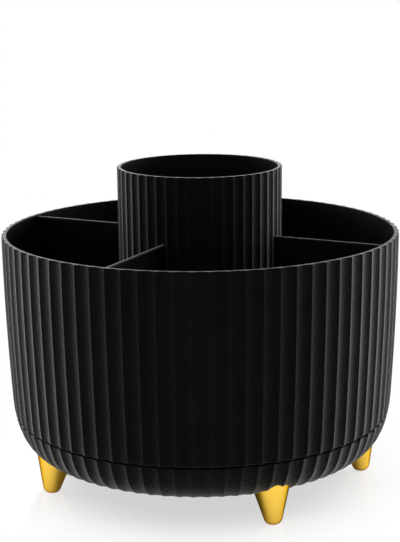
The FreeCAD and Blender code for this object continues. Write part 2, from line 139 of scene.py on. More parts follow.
# %% [markdown]
# ## Moulded matte black ABS
#
# Bowl, cup, plates and base are injection moulded in black ABS. The half of the steel mould that
# makes the outside is spark eroded, so that side comes out with a fine grain. To the eye it is a
# deep black that turns grey only where light grazes it: on the flanks and along the ridges. The
# colour is nearly black all over, the mirror-like part is weak, and a thin sheen stands for the
# light that the grain's fine peaks catch at a grazing angle. The core, the other half of the mould,
# is only polished, so the inside has a little more gloss but no sheen, and stays black. Its colour
# is also set a shade darker, which is painted shade: this darker copy goes on the inside, the
# seams, the undersides and the plates' faces, and the grained copy goes on the rims and the plates'
# top edges. Grain goes into bump and roughness, on the object's own coordinates. The real grain is
# about 0.2 mm wide and would be lost in a small picture, so it is drawn coarser and deeper: 0.85 mm
# wide, 0.33 mm deep.

# %% Black plastic
GRAIN = 0.85 * MM
CLOUD = 14 * MM


def moulded_black_abs(name, dark, light, rough, sheen, gloss, relief):
    """Black ABS: colour from dark to light in soft clouds, roughness and relief from the grain."""
    made, tree = material(name)
    place = node(tree, "TexCoord").outputs["Object"]
    grain = node(tree, "TexNoise", {"Scale": 1 / GRAIN, "Detail": 2.0, "Roughness": 0.6},
                 {"Vector": place})
    cloud = node(tree, "TexNoise", {"Scale": 1 / CLOUD, "Detail": 3.0, "Roughness": 0.55},
                 {"Vector": place})
    colour = node(tree, "ValToRGB", links={"Fac": cloud.outputs["Fac"]})
    colour.color_ramp.elements[0].position = 0.3
    colour.color_ramp.elements[0].color = linear(dark)
    colour.color_ramp.elements[1].position = 0.75
    colour.color_ramp.elements[1].color = linear(light)
    uneven = node(tree, "MapRange", {"To Min": rough[0], "To Max": rough[1]},
                  {"Value": grain.outputs["Fac"]})
    bump = node(tree, "Bump", {"Strength": 1.0, "Distance": relief},
                {"Height": grain.outputs["Fac"]})
    surface = node(tree, "BsdfPrincipled", {
        "IOR": 1.5, "Specular IOR Level": gloss, "Sheen Weight": sheen, "Sheen Roughness": 0.35,
    }, {
        "Base Color": colour.outputs["Color"],
        "Roughness": uneven.outputs["Result"],
        "Normal": bump.outputs["Normal"],
    })
    node(tree, "OutputMaterial", links={"Surface": surface.outputs["BSDF"]})
    return made


black_abs = moulded_black_abs("moulded_grained_black_ABS", "#040404", "#090909", (0.30, 0.42),
                              sheen=0.58, gloss=0.02, relief=0.33 * MM)
# The smooth copy is a shade darker than the grained one: painted shade on insides, seams and plate
# faces.
smooth_abs_painted_shade = moulded_black_abs("moulded_smooth_black_ABS_painted_shade", "#030303", "#060606", (0.34, 0.40),
                             sheen=0.0, gloss=0.10, relief=0.02 * MM)
print("made", black_abs.name, "and", smooth_abs_painted_shade.name)

# %% [markdown]
# ## Gold-plated ABS
#
# The feet are ABS plated with a bright gold film over a nickel layer. It mirrors the white table
# and the shade under the base, which is why each foot has a dark flank. A metal needs its colour in
# the base colour, metallic 1 and a low roughness. A dark brown specular tint darkens the film at a
# grazing angle: painted shade that deepens the feet's flanks. A very weak, wide bump stands for the
# slightly uneven moulding under the film.

# %% Metals
SWELL = 3.0 * MM
BUFFING = 0.6 * MM


def metal(name, colour, rough, swell, marks, bump_strength, edge="#ffffff"):
    """Metal of one colour and edge tint; roughness varies at the size of marks, bump at swell."""
    made, tree = material(name)
    place = node(tree, "TexCoord").outputs["Object"]
    wave = node(tree, "TexNoise", {"Scale": 1 / swell, "Detail": 1.0}, {"Vector": place})
    fine = node(tree, "TexNoise", {"Scale": 1 / marks, "Detail": 3.0, "Roughness": 0.6},
                {"Vector": place})
    uneven = node(tree, "MapRange", {"To Min": rough[0], "To Max": rough[1]},
                  {"Value": fine.outputs["Fac"]})
    bump = node(tree, "Bump", {"Strength": bump_strength, "Distance": 0.1 * MM},
                {"Height": wave.outputs["Fac"]})
    # A dark edge tint darkens the metal at grazing angles; on the gold feet it is painted shade.
    surface = node(tree, "BsdfPrincipled", {
        "Base Color": linear(colour), "Metallic": 1.0, "Specular Tint": linear(edge),
    }, {
        "Roughness": uneven.outputs["Result"],
        "Normal": bump.outputs["Normal"],
    })
    node(tree, "OutputMaterial", links={"Surface": surface.outputs["BSDF"]})
    return made


# Its dark brown edge tint is painted shade on the feet's grazing flanks, where they mirror shade.
gold_film = metal("gold_plated_ABS", "#ffd053", rough=(0.10, 0.18), swell=SWELL, marks=BUFFING,
                  bump_strength=0.15, edge="#6b4514")
print("made", gold_film.name)

# %% [markdown]
# ## What lies inside: steel and acetal
#
# Between base and bowl lies a ball bearing, and screws hold cup and feet. Their solids are already
# right, so they stay and only get their finish. The races are pressed from zinc-plated strip, whose
# crystals show as faint patches about 2 mm wide. Balls are ground bright. Cage and bush are natural
# acetal, a waxy off-white plastic with a soft gloss.

# %% Inside pieces
SPANGLE = 2.0 * MM
WAXY_CLOUD = 2.0 * MM


def natural_acetal():
    """Off-white acetal, its colour and roughness uneven in the same soft clouds."""
    made, tree = material("moulded_natural_acetal")
    place = node(tree, "TexCoord").outputs["Object"]
    cloud = node(tree, "TexNoise", {"Scale": 1 / WAXY_CLOUD, "Detail": 2.0}, {"Vector": place})
    colour = node(tree, "ValToRGB", links={"Fac": cloud.outputs["Fac"]})
    colour.color_ramp.elements[0].color = linear("#e3dfd2")
    colour.color_ramp.elements[1].color = linear("#efece2")
    uneven = node(tree, "MapRange", {"To Min": 0.35, "To Max": 0.5},
                  {"Value": cloud.outputs["Fac"]})
    surface = node(tree, "BsdfPrincipled", {"IOR": 1.48}, {
        "Base Color": colour.outputs["Color"], "Roughness": uneven.outputs["Result"],
    })
    node(tree, "OutputMaterial", links={"Surface": surface.outputs["BSDF"]})
    return made


zinc_strip = metal("zinc_plated_pressed_steel", "#b9bcc0", (0.28, 0.48), SPANGLE, SPANGLE, 0.1)
zinc_screw = metal("zinc_plated_screw_steel", "#a9acb0", (0.25, 0.40), SPANGLE, BUFFING, 0.1)
ball_steel = metal("ground_bearing_steel", "#c6c7c9", (0.06, 0.12), SPANGLE, BUFFING, 0.02)
acetal = natural_acetal()

INSIDE_FINISH = {
    "lower_race": zinc_strip, "upper_race": zinc_strip, "pivot_washer": zinc_strip,
    "pivot_screw": zinc_screw, "foot_screws": zinc_screw, "cup_screws": zinc_screw,
    "bearing_balls": ball_steel, "ball_cage": acetal, "hub_bush": acetal,
}
for name, finish in INSIDE_FINISH.items():
    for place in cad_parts[name].material_slots:
        place.link = "OBJECT"
        place.material = finish
print("dressed", len(INSIDE_FINISH), "inside pieces")

# %% [markdown]
# ## Sizes
#
# The outside sizes are read from the frame. The wall's line and the flutes are given by the same
# few driving sizes as the working model, so the smooth surfaces lie where its solids lie.

# %% Sizes
bowl_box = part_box("bowl")
base_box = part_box("base_dish")
cup_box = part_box("centre_cup")

RIM_HEIGHT = bowl_box[1].z
RIM_RADIUS = bowl_box[1].x
UNDERSIDE = base_box[0].z
SEAM_HEIGHT = base_box[1].z
SEAM_GAP = 0.8 * MM
BOWL_BOTTOM = SEAM_HEIGHT + SEAM_GAP

LEANS = [math.radians(a) for a in (0.1, 3.4, 22.6, 67.0)]   # of the wall, from the rim down
UPPER_TURN = 43.0 * MM          # radius of the arc that turns the wall under
LOWER_TURN = 18.0 * MM          # and of the tighter one below it

FLUTES = 78
FLUTE_DEPTH = 0.9 * MM
BASE_FLUTE_TURN = math.radians(-0.8)    # the base's flutes stand a little round from the bowl's
CUP_FLUTES = 48
CUP_FLUTE_DEPTH = 0.65 * MM
RIDGE_ROUND = 0.45 * MM         # radius that moulding leaves on a ridge
EDGE_ROUND = 0.3 * MM           # and on the edges where flutes run out

CUP_HEIGHT = cup_box[1].z
CUP_RADIUS = cup_box[1].x
CUP_DRAFT = math.radians(0.1)
CUP_WALL = 1.9 * MM
print("rim", round(RIM_RADIUS / MM, 2), "cup", round(CUP_RADIUS / MM, 2))

# %% [markdown]
# ## The wall's line
#
# Bowl and base share one outline: almost upright at the rim, then two tighter arcs that carry it
# under. Each arc starts at the lean where the one above ends, so there is no kink. On an arc of
# radius a, the sine of the lean grows by height / a, and the radius shrinks by a times the change
# of the cosine. That gives the radius at any height at once, for a whole array of heights.

# %% The wall's line
def wall_radius(height):
    """Radius over the ridges at an array of heights.

    A drop d down an arc of radius a gives sin lean = sin lean_top + d / a, and the radius there is
    r_top - a (cos lean_top - cos lean).
    """
    rim, waist, haunch, foot = [math.sin(a) for a in LEANS]
    haunch_height = UNDERSIDE + LOWER_TURN * (foot - haunch)
    waist_height = haunch_height + UPPER_TURN * (haunch - waist)
    upper_arc = (RIM_HEIGHT - waist_height) / (waist - rim)
    radius, top, sine = RIM_RADIUS, RIM_HEIGHT, rim
    result = np.zeros_like(height)
    for arc, end, end_sine in (
        (upper_arc, waist_height, waist),
        (UPPER_TURN, haunch_height, haunch),
        (LOWER_TURN, UNDERSIDE, foot),
    ):
        s = np.clip(sine + (top - height) / arc, 0, 0.999)
        here = radius - arc * (math.sqrt(1 - sine ** 2) - np.sqrt(1 - s ** 2))
        result = np.where(height <= top, here, result)
        radius -= arc * (math.sqrt(1 - sine ** 2) - math.sqrt(1 - end_sine ** 2))
        top, sine = end, end_sine
    return np.where(height > RIM_HEIGHT, RIM_RADIUS, result)


check = np.array([RIM_HEIGHT, 0.060, 0.037, SEAM_HEIGHT, UNDERSIDE])
print("wall radii in mm:", np.round(wall_radius(check) / MM, 2))

# %% [markdown]
# ## A fluted circle
#
# Seen from above, each flute is a hollow arc between two ridges. A circle that is cut by an arc
# can be built point by point, or by the law of cosines: the arc's centre lies outside, at a
# distance c from the axis, and its radius is q, so at an angle t from the flute's middle the
# radius is c cos t - sqrt(q^2 - (c sin t)^2). Near a ridge a small round takes over. More columns
# of points are spent on the ridge, because its highlight is what draws the flutes.

# %% Columns of points
def flute_angles(count, radius, turn):
    """Angles of the columns: shares of a ridge's round, then shares of the way to the next one."""
    step = 2 * math.pi / count
    ridge = 0.5 * RIDGE_ROUND / radius
    across = np.array([0.0, 0.55, 1.0])
    hollow = np.array([0.1, 0.22, 0.36, 0.5])
    half = np.concatenate([ridge * across, ridge + (step / 2 - ridge) * 2 * hollow])
    one = np.concatenate([half, step - half[1:-1][::-1]])
    starts = -math.pi / 2 + turn - step / 2 + step * np.arange(count)
    return (starts[:, None] + one[None, :]).ravel()


columns = flute_angles(FLUTES, RIM_RADIUS, 0.0)
print("columns round the bowl:", len(columns))


# %% The flutes' cut
def flute_cut(angles, count, turn, radius, depth):
    """How far a fluted circle lies inside its ridges' circle, for arrays of angle and radius.

    The arc through two ridges has half chord h and sinks by s below it: q = (h^2 + s^2) / 2s. Where
    both hollows fall away from a ridge at a slope m, a round of radius f touches them at
    f m / sqrt(1 + m^2) from it and takes f (sqrt(1 + m^2) - 1) off its tip.
    """
    step = 2 * math.pi / count
    t = (angles + math.pi / 2 - turn + step / 2) % step - step / 2
    chord = radius * math.sin(step / 2)
    sink = depth - radius * (1 - math.cos(step / 2))
    q = (chord ** 2 + sink ** 2) / (2 * sink)
    c = radius - depth + q
    hollow = radius - (c * np.cos(t) - np.sqrt(q ** 2 - (c * np.sin(t)) ** 2))
    away = (step / 2 - np.abs(t)) * radius
    slope = chord / (q - sink)
    stretch = np.hypot(1, slope)
    ease = RIDGE_ROUND * slope / stretch
    lost = RIDGE_ROUND * (stretch - 1)
    dome = lost + RIDGE_ROUND - np.sqrt(RIDGE_ROUND ** 2 - np.minimum(away, ease) ** 2)
    return np.where(away < ease, dome, hollow)


deepest = flute_cut(columns, FLUTES, 0.0, RIM_RADIUS, FLUTE_DEPTH).max()
print("deepest cut in mm:", round(float(deepest) / MM, 3))

# %% [markdown]
# ## From a profile to a mesh
#
# Bowl, cup, base and feet are all bodies that a lathe could turn, apart from the flutes. So each
# is a profile of (radius, height) rows, carried round the axis through a row of angles. The rows
# run from the axis below, out, up the outside, over the rim and back in to the axis, so that every
# face points outwards. Corners get a small round: it catches a highlight, as moulded edges do.

# %% Profiles
def softened(corners):
    """Rows of (radius, height) in metres through corners given in mm as (radius, height, round).

    A round of radius f at a corner with inner half angle h starts f / tan h before the corner.
    Its points lie on the arc that touches both sides, four steps from one to the other.
    """
    points = np.array([c[:2] for c in corners], float)
    rows = [points[0]]
    for k in range(1, len(corners) - 1):
        before = points[k - 1] - points[k]
        after = points[k + 1] - points[k]
        before /= np.linalg.norm(before)
        after /= np.linalg.norm(after)
        f = corners[k][2]
        if f == 0:
            rows.append(points[k])
            continue
        half = math.acos(float(np.clip(before @ after, -1, 1))) / 2
        middle = (before + after) / np.linalg.norm(before + after)
        centre = points[k] + middle * f / math.sin(half)
        start = points[k] + before * f / math.tan(half) - centre
        end = points[k] + after * f / math.tan(half) - centre
        steps = np.linspace(0, 1, 5)[:, None]
        arc = start * (1 - steps) + end * steps
        arc *= f / np.linalg.norm(arc, axis=1, keepdims=True)
        rows.extend(centre + arc)
    rows.append(points[-1])
    return np.array(rows) * MM


def quarter_round(centre, radius, start, end, steps):
    """Rows on an arc about (radius, height) centre, in mm, between two angles in degrees."""
    angle = np.radians(np.linspace(start, end, steps))
    return (np.array(centre) + radius * np.stack([np.cos(angle), np.sin(angle)], 1)) * MM


print("rows of one softened corner:", len(softened([(0, 0, 0), (9, 0, 1), (9, 9, 0)])) - 2)

# %% From rows to a mesh
SHARP_FROM = math.radians(35)


def carried_round(rows, angles, cut=None):
    """Grid of points (rows, angles, 3): x = r cos a, y = r sin a, with r less the flutes' cut."""
    radius = np.repeat(rows[:, :1], len(angles), axis=1)
    if cut is not None:
        radius = radius - cut
    height = np.repeat(rows[:, 1:2], len(angles), axis=1)
    return np.stack([radius * np.cos(angles), radius * np.sin(angles), height], axis=2)


def skin(name, grid, finish, poles=True):
    """Mesh of a grid that closes round its columns; its end rows close in poles or join up."""
    rows, count = grid.shape[:2]
    index = np.arange(rows * count).reshape(rows, count)
    if not poles:
        index = np.vstack([index, index[:1]])
    here, up = index[:-1], index[1:]
    quads = np.stack([here, np.roll(here, -1, 1), np.roll(up, -1, 1), up], axis=2).reshape(-1, 4)
    points = grid.reshape(-1, 3)
    faces = quads.tolist()
    if poles:
        ends = np.array([grid[0].mean(0), grid[-1].mean(0)])
        low, high = len(points), len(points) + 1
        points = np.vstack([points, ends])
        first, last = index[0], index[-1]
        faces += np.stack([np.full(count, low), np.roll(first, -1), first], 1).tolist()
        faces += np.stack([last, np.roll(last, -1), np.full(count, high)], 1).tolist()
    return piece(name, points, faces, finish)


def piece(name, points, faces, finish):
    """Object at the origin with a smooth-shaded mesh that is sharp at turns over SHARP_FROM."""
    mesh = bpy.data.meshes.new(name)
    mesh.from_pydata(points.tolist(), [], faces)
    mesh.update()
    mesh.shade_smooth()
    mesh.set_sharp_from_angle(angle=SHARP_FROM)
    mesh.materials.append(finish)
    made = bpy.data.objects.new(name, mesh)
    bpy.context.scene.collection.objects.link(made)
    even = made.modifiers.new("even_shading", "WEIGHTED_NORMAL")
    even.keep_sharp = True
    print(name, len(mesh.vertices), "points", len(mesh.polygons), "faces")
    return made


print("edges are sharp from", round(math.degrees(SHARP_FROM)), "degrees")

# %% [markdown]
# ## The bowl
#
# The bowl is one moulding: fluted wall, floor with a large round corner, and below the floor the
# skirt, the two rings that seat the upper race, and the centre post. Cutting it from a block would
# be the machinist's way. One profile is simpler here: the rows of the outer wall take the flutes'
# cut from edge to edge, so that both edges are scalloped, and all other rows stay plain circles.

# %% Fluted walls
def fluted_rows(radius_at, bottom, top, count, crowd):
    """Rows up an outer wall, with a quarter round at both edges, in metres.

    A round of radius f has rows at height f (1 - cos a) from the edge, drawn in by f (1 - sin a).
    Between the rounds the heights grow as a power of the row's number, closer at the bottom.
    """
    a = np.linspace(0, math.pi / 2, 5)[:-1]
    rise, inset = EDGE_ROUND * (1 - np.cos(a)), EDGE_ROUND * (1 - np.sin(a))
    span = top - bottom - 2 * EDGE_ROUND
    straight = bottom + EDGE_ROUND + span * np.linspace(0, 1, count) ** crowd
    heights = np.concatenate([bottom + rise, straight, (top - rise)[::-1]])
    drawn_in = np.concatenate([inset, np.zeros(count), inset[::-1]])
    return np.stack([radius_at(heights) - drawn_in, heights], 1)


def fluted_shell(name, before, wall, after, angles, flutes, turn, depth, rim_rows=0, poles=True):
    """Skin through rows before, on and after the wall, with flutes cut into the wall's rows only.

    Faces on the wall and on the next rim_rows rows are grained, all others smooth, in a darker
    colour that is painted shade.
    """
    rows = np.vstack([before, wall, after])
    low, high = len(before), len(before) + len(wall)
    cut = np.zeros((len(rows), len(angles)))
    cut[low:high] = flute_cut(angles[None, :], flutes, turn, wall[:, :1], depth)
    made = skin(name, carried_round(rows, angles, cut), black_abs, poles)
    made.data.materials.append(smooth_abs_painted_shade)
    smooth = np.ones(len(made.data.polygons), np.int32)
    smooth[low * len(angles):(high - 1 + rim_rows) * len(angles)] = 0
    made.data.polygons.foreach_set("material_index", smooth)
    return made


def inside_rows(low, high, wall, count):
    """Rows down the inside of the wall, a fixed distance in from the ridges, heights in mm."""
    heights = np.linspace(high, low, count) * MM
    return np.stack([wall_radius(heights) - wall * MM, heights], 1)


print("rows up a test wall:", len(fluted_rows(wall_radius, BOWL_BOTTOM, RIM_HEIGHT, 5, 1.0)))

# %% Seats of the ball races
SEAT_RADII = (45.2, 46.85, 49.2, 54.8, 57.15, 58.8)     # lip, race, ledge; ledge, race, lip


def race_seat(floor, ledge, lip):
    """Corners of the two rings that hold a race, from the inner lip to the outer, heights in mm."""
    lip_in, race_in, ledge_in, ledge_out, race_out, lip_out = SEAT_RADII
    inner = [(lip_in, floor), (lip_in, lip), (race_in, lip), (race_in, ledge), (ledge_in, ledge),
             (ledge_in, floor)]
    outer = [(ledge_out, floor), (ledge_out, ledge), (race_out, ledge), (race_out, lip),
             (lip_out, lip), (lip_out, floor)]
    return [corner + (0,) for corner in inner + outer]


print("corners of a race's seat:", len(race_seat(0.0, 1.0, 2.0)))

# %% The bowl's sizes
BOWL_WALL = 2.2
FLOOR_TOP = 37.0
FLOOR_UNDER = 34.5
CORNER = 8.0
POST_R, POST_END = 5.0, 18.3            # the post that turns in the base's hub
BOSS_R, BOSS_END = 9.0, 28.0            # and the boss that it stands on
UPPER_LEDGE, UPPER_LIP = 29.5, 28.3
SKIRT_IN, SKIRT_OUT, SKIRT_END = 80.05, 81.85, 27.5
WALL_FOOT_R = 84.78                     # inside of the wall where it ends at the seam
BESIDE_FLUTES_R = 85.6                  # row on the flat at the seam, just inside the flutes
RIM_FLAT = 1.5                          # row on the flat rim, this far in from the ridges
RIM_ROUND = 0.35
BELOW_RIM = (0.05, 3.0)                 # next row on the inside: this far in, this far down
INSIDE_FROM = 6.0                       # depth from which the inside follows the wall's line
FLOOR_RINGS = (60.0, 30.0, 3.0)         # radii of the rows on the floor
AXIS_R = 2.0                            # innermost row of a flat face that closes in a pole
WALL_ROWS = 14

bottom_mm, rim_mm, rim_r = BOWL_BOTTOM / MM, RIM_HEIGHT / MM, RIM_RADIUS / MM
print("bowl from", round(bottom_mm, 1), "to", round(rim_mm, 1), "mm, floor at", FLOOR_TOP)

# %% Bowl
under_bowl = softened([
    (AXIS_R, POST_END, 0), (POST_R, POST_END, 0.4), (POST_R, BOSS_END, 0),
    (BOSS_R, BOSS_END, 0.4), (BOSS_R, FLOOR_UNDER, 0),
    *race_seat(FLOOR_UNDER, UPPER_LEDGE, UPPER_LIP),
    (SKIRT_IN, FLOOR_UNDER, 0), (SKIRT_IN, SKIRT_END, 0), (SKIRT_OUT, SKIRT_END, 0),
    (SKIRT_OUT, FLOOR_UNDER, 0), (WALL_FOOT_R, FLOOR_UNDER, 0), (WALL_FOOT_R, bottom_mm, 0.2),
    (BESIDE_FLUTES_R, bottom_mm, 0),
])
bowl_wall = fluted_rows(wall_radius, BOWL_BOTTOM, RIM_HEIGHT, WALL_ROWS, 1.4)
over_rim = softened([
    (rim_r - RIM_FLAT, rim_mm, 0), (rim_r - BOWL_WALL, rim_mm, RIM_ROUND),
    (rim_r - BOWL_WALL - BELOW_RIM[0], rim_mm - BELOW_RIM[1], 0),
])
bowl_inside = inside_rows(FLOOR_TOP + CORNER, rim_mm - INSIDE_FROM, BOWL_WALL, 10)
corner_centre = (bowl_inside[-1, 0] / MM - CORNER, FLOOR_TOP + CORNER)
floor_corner = quarter_round(corner_centre, CORNER, 0, -90, 10)[1:]
bowl_floor = np.array([(radius, FLOOR_TOP) for radius in FLOOR_RINGS]) * MM
bowl = fluted_shell(
    "bowl_shell", under_bowl, bowl_wall,
    np.vstack([over_rim, bowl_inside, floor_corner, bowl_floor]),
    columns, FLUTES, 0.0, FLUTE_DEPTH, rim_rows=6,
)
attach(bowl, "bowl")
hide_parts("bowl")

# %% [markdown]
# ## The centre cup
#
# The cup is a second moulding, screwed on from below. Its flutes are narrower and its wall is
# almost upright. It is made the same way as the bowl.

# %% Centre cup
CUP_FLOOR = 46.0
CUP_FLOOR_UNDER = 44.0
CUP_CORNER = 4.0
CUP_RIM_FLAT = 0.6                      # row on the flat rim, this far out from its inside
CUP_FLOOR_RING = 15.0
CUP_ROWS = 5
CUP_TURN = math.pi / CUP_FLUTES


def cup_radius(height):
    """Radius over the cup's ridges: it shrinks by the drop from the rim times the draft's slope."""
    return CUP_RADIUS - (CUP_HEIGHT - height) * math.tan(CUP_DRAFT)


def cup_inside(height_mm):
    """Radius of the cup's inner wall in mm."""
    return (cup_radius(height_mm * MM) - CUP_WALL) / MM


cup_top = CUP_HEIGHT / MM
cup_columns = flute_angles(CUP_FLUTES, CUP_RADIUS, CUP_TURN)
under_cup = softened([
    (AXIS_R, CUP_FLOOR_UNDER, 0), (cup_inside(CUP_FLOOR_UNDER), CUP_FLOOR_UNDER, 0.5),
    (cup_inside(FLOOR_TOP), FLOOR_TOP, 0),
])
cup_wall = fluted_rows(cup_radius, FLOOR_TOP * MM, CUP_HEIGHT, CUP_ROWS, 1.0)
low = CUP_FLOOR + CUP_CORNER
cup_rim = softened([
    (cup_inside(cup_top) + CUP_RIM_FLAT, cup_top, 0), (cup_inside(cup_top), cup_top, RIM_ROUND),
    (cup_inside(low), low, 0),
])
cup_corner = quarter_round((cup_inside(low) - CUP_CORNER, low), CUP_CORNER, 0, -90, 7)[1:]
cup_floor = np.array([(CUP_FLOOR_RING, CUP_FLOOR), (AXIS_R, CUP_FLOOR)]) * MM
cup = fluted_shell(
    "centre_cup_shell", under_cup, cup_wall, np.vstack([cup_rim, cup_corner, cup_floor]),
    cup_columns, CUP_FLUTES, CUP_TURN, CUP_FLUTE_DEPTH, rim_rows=6,
)
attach(cup, "bowl")
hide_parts("centre_cup")

# %% [markdown]
# ## The base
#
# The base carries the same wall line on and under. Its flutes run out at the flat underside, which
# gives that edge its scallops. The hub in its middle is open from top to bottom, so this profile is
# a closed loop and has no pole: the last row joins the first.

# %% Base
BASE_WALL = 3.2
BASE_FLOOR = 16.7
BASE_CORNER = 2.4
LOWER_LEDGE, LOWER_LIP = 21.7, 22.9
HUB_R, HUB_TOP = 11.02, 27.0
HUB_BORE = 8.02                         # the bush sits here
WASHER_ROOM_R, WASHER_ROOM_TOP = 9.55, 19.7
WASHER_ROOM_LOW = 17.0                  # last row of the loop, above its first one
UNDERSIDE_RINGS = (40.0, 72.5)          # radii of the rows on the underside
BASE_ROWS = 20

seam_mm, under_mm = SEAM_HEIGHT / MM, UNDERSIDE / MM
base_columns = flute_angles(FLUTES, RIM_RADIUS, BASE_FLUTE_TURN)
underside = softened([(r, under_mm, 0) for r in (WASHER_ROOM_R, *UNDERSIDE_RINGS)])
base_wall = fluted_rows(wall_radius, UNDERSIDE, SEAM_HEIGHT, BASE_ROWS, 1.5)
seam_r = float(wall_radius(np.array([SEAM_HEIGHT]))[0]) / MM
base_inside = inside_rows(BASE_FLOOR + BASE_CORNER, seam_mm - 1, BASE_WALL, 9)
corner_centre = (base_inside[-1, 0] / MM - BASE_CORNER, BASE_FLOOR + BASE_CORNER)
base_corner = quarter_round(corner_centre, BASE_CORNER, 0, -90, 6)[1:]
base_floor = softened([
    (60.0, BASE_FLOOR, 0), *race_seat(BASE_FLOOR, LOWER_LEDGE, LOWER_LIP)[::-1],
    (HUB_R, BASE_FLOOR, 0), (HUB_R, HUB_TOP, 0.3), (HUB_BORE, HUB_TOP, 0),
    (HUB_BORE, WASHER_ROOM_TOP, 0), (WASHER_ROOM_R, WASHER_ROOM_TOP, 0),
    (WASHER_ROOM_R, WASHER_ROOM_LOW, 0),
])
top_edge = softened([
    (seam_r - RIM_FLAT, seam_mm, 0), (seam_r - BASE_WALL, seam_mm, 0.2),
    tuple(base_inside[0] / MM) + (0,),
])[:-1]
base = fluted_shell(
    "base_shell", underside, base_wall, np.vstack([top_edge, base_inside, base_corner, base_floor]),
    base_columns, FLUTES, BASE_FLUTE_TURN, FLUTE_DEPTH, poles=False,
)
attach(base, "base")
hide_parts("base_dish")

# %% [markdown]
# ## Divider plates
#
# A plate is a flat sheet with one edge cut to the bowl's inside and a soft top edge. It could be
# extruded from an outline. Here it is a grid: one direction runs round the plate's section, up one
# face, over the top and down the other; the second runs from the cup to the wall. At each height
# the run is stretched to end just short of the wall there.

# %% A plate's outline
PLATE = 1.8
PLATE_TOP = RIM_HEIGHT / MM - 0.6
PLATE_ROUND = 0.7
SEAT = 0.15                 # play all round a plate in its guides
PLATE_TURN = -26.25
PLATE_COUNT = 4
STRAIGHT_FROM = 52.0        # above this height the walls are all but straight
ALONG = 24


def wall_reach(height):
    """How far out a plate runs at each height in mm: the wall's inside or the round corner.

    At a drop d below the corner's centre, a corner of radius c leaves c - sqrt(c^2 - d^2) less.
    """
    low = FLOOR_TOP + SEAT + CORNER
    wall_r = wall_radius(np.maximum(height, low) * MM) / MM - BOWL_WALL - SEAT
    drop = np.clip(low - height, 0, CORNER)
    return wall_r - CORNER + np.sqrt(CORNER ** 2 - drop ** 2)


print("a plate ends at radius", np.round(wall_reach(np.array([PLATE_TOP, FLOOR_TOP + 1])), 1))


# %% A plate's section
def plate_section():
    """Half a plate's section as (side, height) in mm: up its face, then over the top round."""
    rise = np.concatenate([
        FLOOR_TOP + SEAT + CORNER * (1 - np.cos(np.radians(np.linspace(0, 90, 9)))),
        np.linspace(STRAIGHT_FROM, PLATE_TOP - PLATE_ROUND, 6),
    ])
    face = np.stack([np.full(len(rise), PLATE / 2), rise], 1)
    bend = np.radians(np.linspace(15, 90, 6))
    top = np.stack([
        PLATE / 2 - PLATE_ROUND + PLATE_ROUND * np.cos(bend),
        PLATE_TOP - PLATE_ROUND + PLATE_ROUND * np.sin(bend),
    ], 1)
    return np.vstack([face, top])


print("points on half a section:", len(plate_section()))


# %% Divider plates
def turned(x, y, z, degrees):
    """Grid of points (.., 3) turned about the axis: x cos a - y sin a, x sin a + y cos a, z."""
    a = math.radians(degrees)
    return np.stack([x * math.cos(a) - y * math.sin(a), x * math.sin(a) + y * math.cos(a), z], 2)


def divider(name, turn):
    """Plate along +X, then turned: x runs from the cup to the wall, stretched at each height.

    The section's points go up one face, over the top and down the other. Both ends are closed by
    quads between a point on one face and its partner on the other.
    """
    half = plate_section()
    section = np.vstack([half, half[::-1] * (-1, 1)])
    side, height = section.T
    inner = (cup_radius(height * MM) - CUP_FLUTE_DEPTH) / MM + SEAT
    outer = wall_reach(height)
    share = np.linspace(0, 1, ALONG)[:, None]
    x = inner + share * (outer - inner)
    y = np.repeat(side[None, :], ALONG, 0)
    z = np.repeat(height[None, :], ALONG, 0)
    grid = turned(x, y, z, turn)
    count = len(section)
    index = np.arange(ALONG * count).reshape(ALONG, count)
    here, out = index[:-1], index[1:]
    faces = np.stack([here, out, np.roll(out, -1, 1), np.roll(here, -1, 1)], 2).reshape(-1, 4)
    across = np.arange(count // 2)
    other = count - 1 - across
    strip = np.stack([across[:-1], across[1:], other[1:], other[:-1]], 1)
    faces = np.vstack([faces, strip, (index[-1][strip])[:, ::-1]])
    made = piece(name, grid.reshape(-1, 3) * MM, faces.tolist(), black_abs)
    # Faces take the smooth copy, whose darker colour is painted shade; the top round takes the
    # grained copy, so it catches the light.
    made.data.materials.append(smooth_abs_painted_shade)
    at_top = (height > PLATE_TOP - PLATE_ROUND) & (np.roll(height, -1) > PLATE_TOP - PLATE_ROUND)
    smooth = np.ones(len(faces), np.int32)
    smooth[:(ALONG - 1) * count] = np.tile(~at_top, ALONG - 1)
    made.data.polygons.foreach_set("material_index", smooth)
    return made


for number in range(PLATE_COUNT):
    plate = divider("divider_plate_%d" % (number + 1), PLATE_TURN + 90 * number)
    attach(plate, "bowl")
    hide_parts("divider_%d" % (number + 1))

# %% [markdown]
# ## Guide ribs
#
# Each plate's outer edge slides down between two ribs on the bowl's wall. They belong to the bowl's
# moulding. A rib is a narrow U that follows the wall, and its top slopes into the wall to lead the
# plate in. The grid's rows go up the rib and its columns round the U.

# %% A guide rib
RIB_TOP = RIM_HEIGHT / MM - 14.0
RIB_WIDTH = 1.4
RIB_REACH = 2.2
RIB_FROM_PLATE = PLATE / 2 + SEAT + RIB_WIDTH / 2
RIB_SOFT = 0.3
RIB_SUNK = 0.4              # how far a rib's grid reaches into the wall
RIB_UNDER = 0.3             # and into the floor
RIB_LEAD = 1.0              # row on the slope, this far below the rib's top


